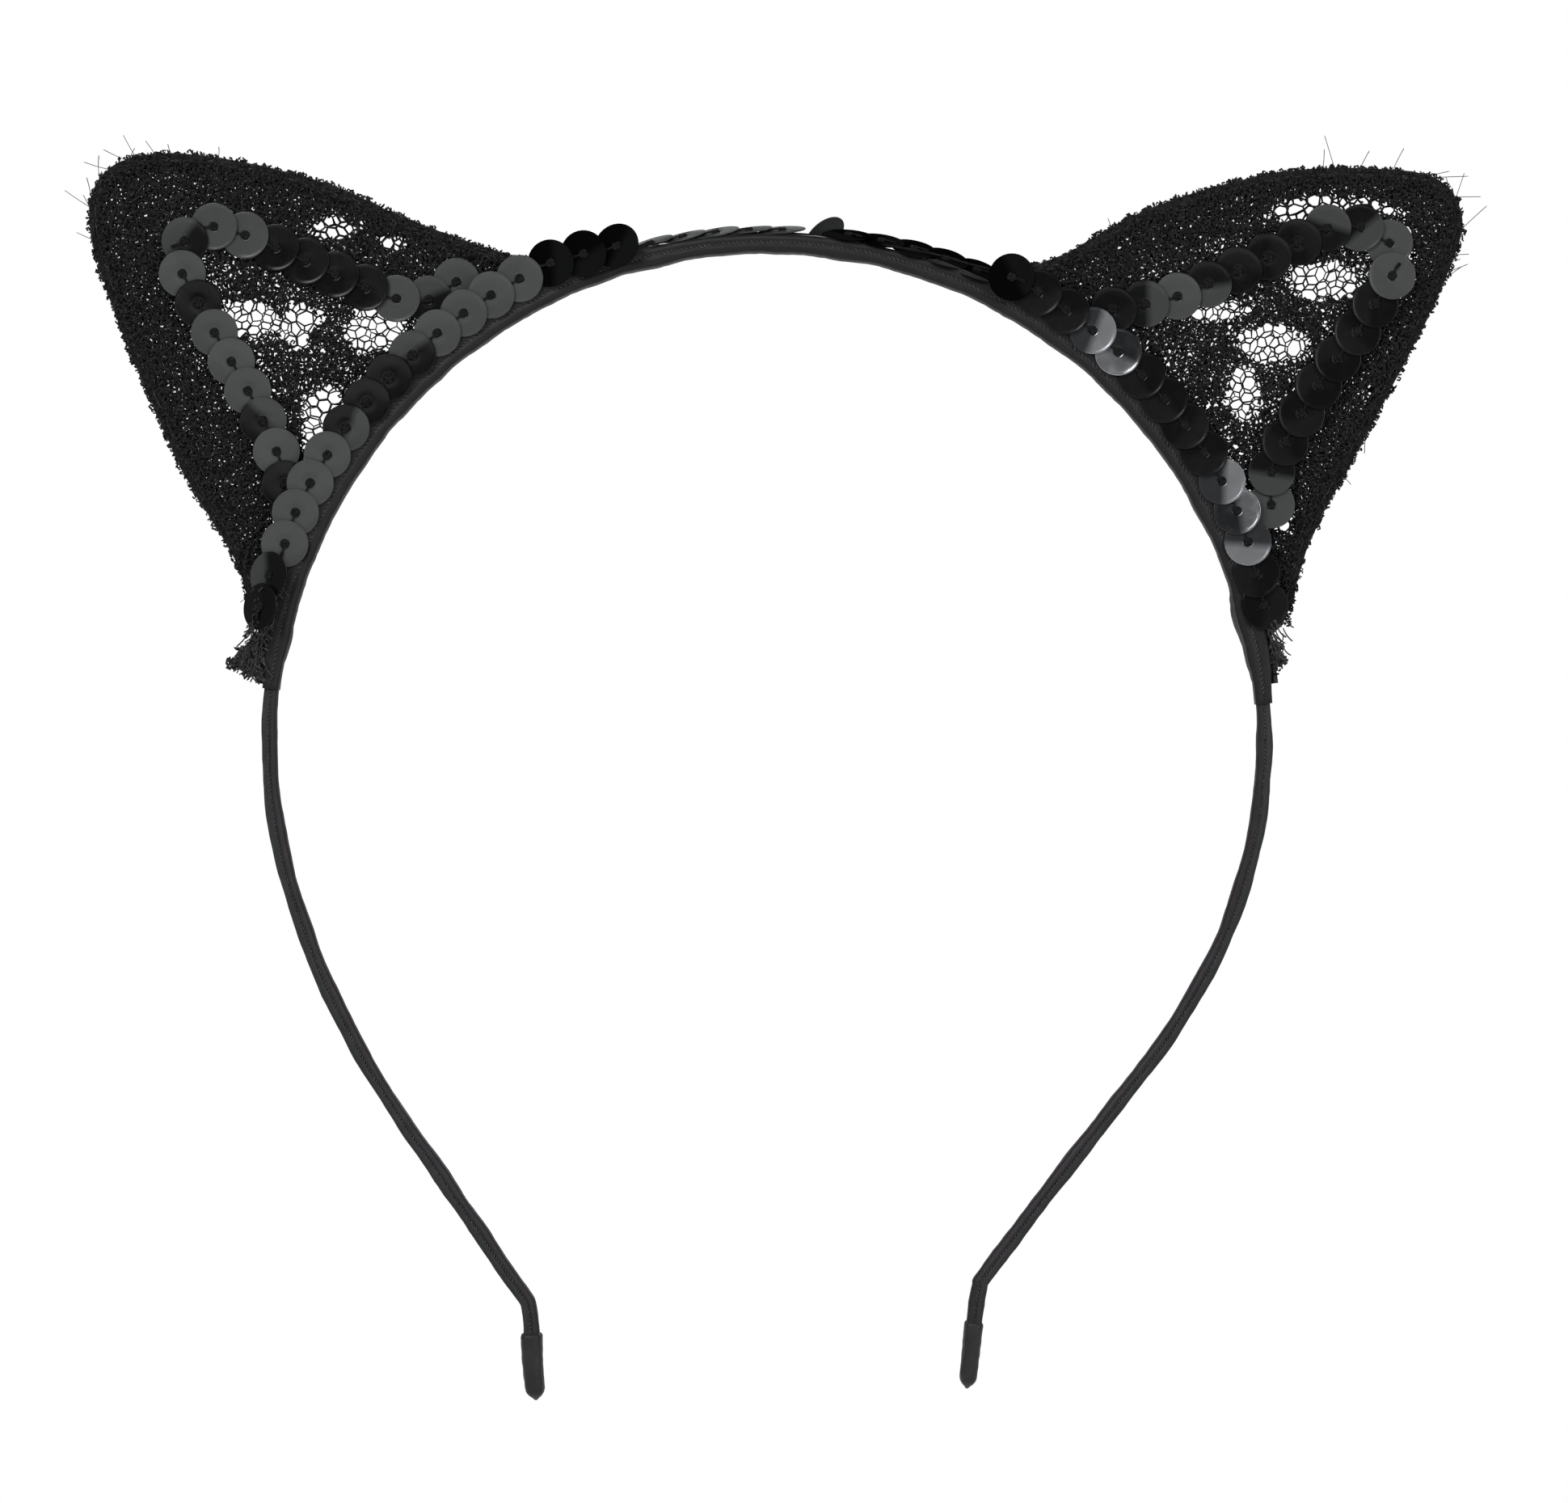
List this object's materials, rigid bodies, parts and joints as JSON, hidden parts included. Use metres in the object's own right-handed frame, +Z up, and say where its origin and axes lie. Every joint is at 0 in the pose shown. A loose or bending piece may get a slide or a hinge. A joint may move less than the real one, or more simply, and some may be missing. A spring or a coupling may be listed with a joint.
{
  "type": "animal ears headband",
  "caption": "Sprung hair band with two wired lace cat ears and strings of overlapping sequins; both arms flex outwards.",
  "frame": {"origin": "centre of the crown's inner arc, which is the centre of the head it sits on, at the middle of the band's width", "axes": "+X from the left ear to the right ear in the front view, -Y the front with the sequins, +Z up towards the ears"},
  "size_m": [0.1749, 0.0097, 0.1585],
  "materials": {
    "spring_steel": "cold-rolled spring strip",
    "satin_ribbon": "black satin with a fine rib",
    "ribbon_end": "folded black satin",
    "ear_wire": "black lacquered soft wire",
    "lace_border": "dense fuzzy lace, rolled",
    "lace": "stretch lace with a net ground",
    "sequin": "mirror gloss black",
    "thread": "black polyester sewing thread"
  },
  "bodies": {
    "crown": {"crown_cover_ribbon": "satin_ribbon", "steel_strip_crown": "spring_steel", "ribbon_crown": "satin_ribbon", "left_ear_wire": "ear_wire", "right_ear_wire": "ear_wire", "left_ear_border": "lace_border", "right_ear_border": "lace_border", "left_ear_lace_front": "lace", "left_ear_lace_back": "lace", "right_ear_lace_front": "lace", "right_ear_lace_back": "lace", "left_ear_upper_sequins": "sequin", "left_ear_outer_sequins": "sequin", "right_ear_upper_sequins": "sequin", "right_ear_outer_sequins": "sequin", "crown_sequins_left": "sequin", "crown_sequins_middle": "sequin", "crown_sequins_right": "sequin", "left_ear_thread": "thread", "right_ear_thread": "thread", "crown_thread": "thread", "left_ear_binding": "thread", "right_ear_binding": "thread", "left_lace_tail": "lace", "right_lace_tail": "lace"},
    "left_arm": {"steel_strip_left_arm": "spring_steel", "ribbon_left_arm": "satin_ribbon", "left_tip_cap": "ribbon_end"},
    "right_arm": {"steel_strip_right_arm": "spring_steel", "ribbon_right_arm": "satin_ribbon", "right_tip_cap": "ribbon_end"}
  },
  "joints": [
    {"name": "left_arm_flex", "type": "hinge", "parent": "crown", "child": "left_arm", "pos_m": [-0.06383, 0, 0.0039], "axis": [0, 1, 0], "range_deg": [0, 25], "stiffness_Nm_per_rad": 0.4},
    {"name": "right_arm_flex", "type": "hinge", "parent": "crown", "child": "right_arm", "pos_m": [0.06389, 0, 0.00279], "axis": [0, -1, 0], "range_deg": [0, 25], "stiffness_Nm_per_rad": 0.4}
  ]
}
